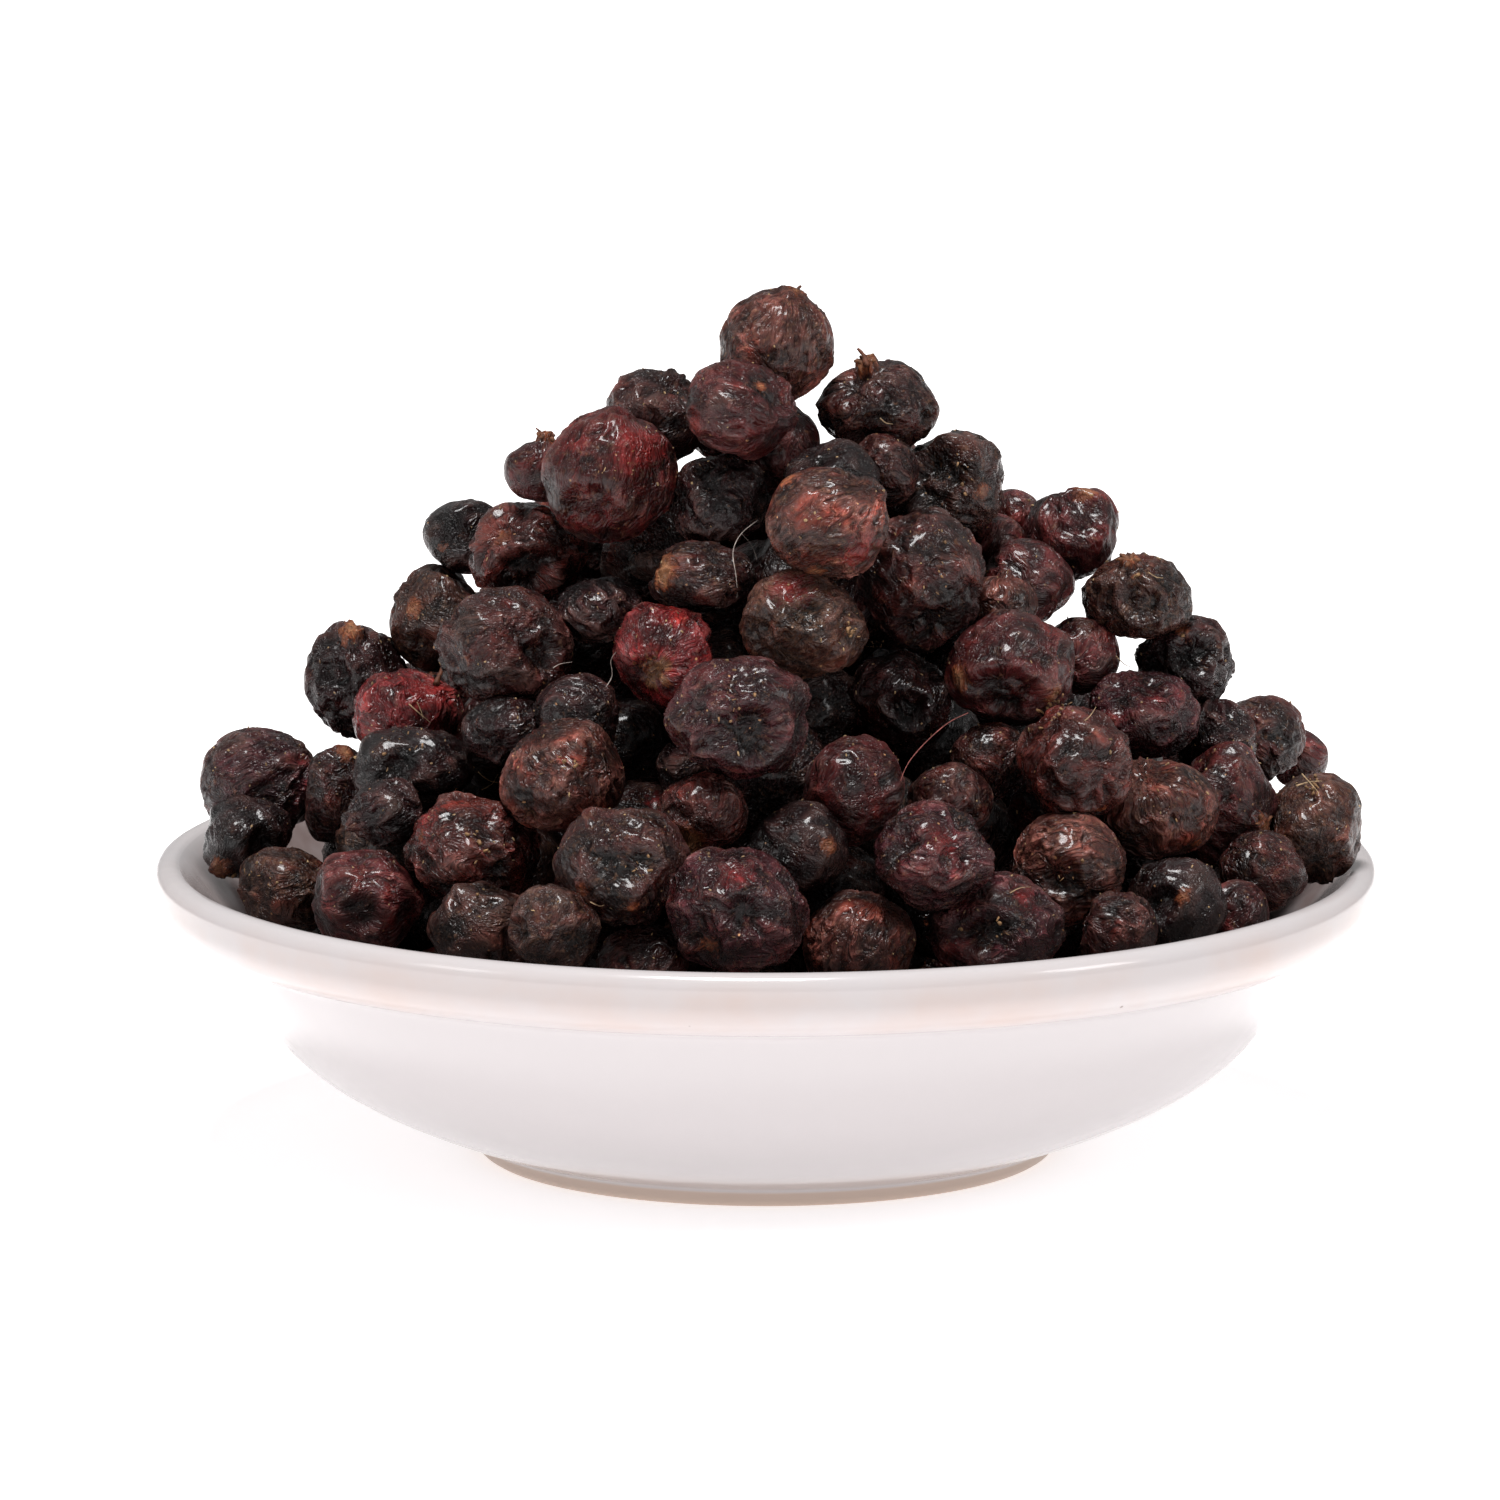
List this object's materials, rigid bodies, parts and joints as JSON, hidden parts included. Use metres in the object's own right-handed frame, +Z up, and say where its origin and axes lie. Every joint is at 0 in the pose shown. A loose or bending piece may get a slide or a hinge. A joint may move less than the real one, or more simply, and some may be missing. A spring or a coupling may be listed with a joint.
{
  "type": "bowl of dried sour cherries",
  "caption": "Small white glazed bowl with a thick rounded rim, heaped high with wrinkled dark dried sour cherries.",
  "frame": {"origin": "middle of the bowl's foot, on the surface that it stands on", "axes": "+Z up along the bowl's axis; -Y is the side that the picture shows, +X to its right"},
  "size_m": [0.122, 0.122, 0.0864],
  "materials": {
    "glaze": "gloss",
    "cherry_skin": "satin"
  },
  "bodies": {
    "root": {"bowl": "glaze", "cherries_01": "cherry_skin", "cherries_02": "cherry_skin", "cherries_03": "cherry_skin", "cherries_04": "cherry_skin", "cherries_05": "cherry_skin", "cherries_06": "cherry_skin", "cherries_07": "cherry_skin", "cherries_08": "cherry_skin", "cherries_09": "cherry_skin", "cherries_10": "cherry_skin", "cherries_11": "cherry_skin", "cherries_12": "cherry_skin", "cherries_13": "cherry_skin", "cherries_14": "cherry_skin", "cherries_15": "cherry_skin", "cherries_16": "cherry_skin", "cherries_17": "cherry_skin", "cherries_18": "cherry_skin", "cherries_19": "cherry_skin", "cherries_20": "cherry_skin", "cherries_21": "cherry_skin", "cherries_22": "cherry_skin", "cherries_23": "cherry_skin", "cherries_24": "cherry_skin", "cherries_25": "cherry_skin", "cherries_26": "cherry_skin", "cherries_27": "cherry_skin", "cherries_28": "cherry_skin", "cherries_29": "cherry_skin", "cherries_30": "cherry_skin", "cherries_31": "cherry_skin", "cherries_32": "cherry_skin", "cherries_33": "cherry_skin", "cherries_34": "cherry_skin", "cherries_35": "cherry_skin", "cherries_36": "cherry_skin", "cherries_37": "cherry_skin", "cherries_38": "cherry_skin", "cherries_39": "cherry_skin", "cherries_40": "cherry_skin", "cherries_41": "cherry_skin", "cherries_42": "cherry_skin", "cherries_43": "cherry_skin", "cherries_44": "cherry_skin", "cherries_45": "cherry_skin", "cherries_46": "cherry_skin", "cherries_47": "cherry_skin", "cherries_48": "cherry_skin", "cherries_49": "cherry_skin", "cherries_50": "cherry_skin", "cherries_51": "cherry_skin", "cherries_52": "cherry_skin", "cherries_53": "cherry_skin", "cherries_54": "cherry_skin", "cherries_55": "cherry_skin", "cherries_56": "cherry_skin", "cherries_57": "cherry_skin", "cherries_58": "cherry_skin"}
  },
  "joints": []
}
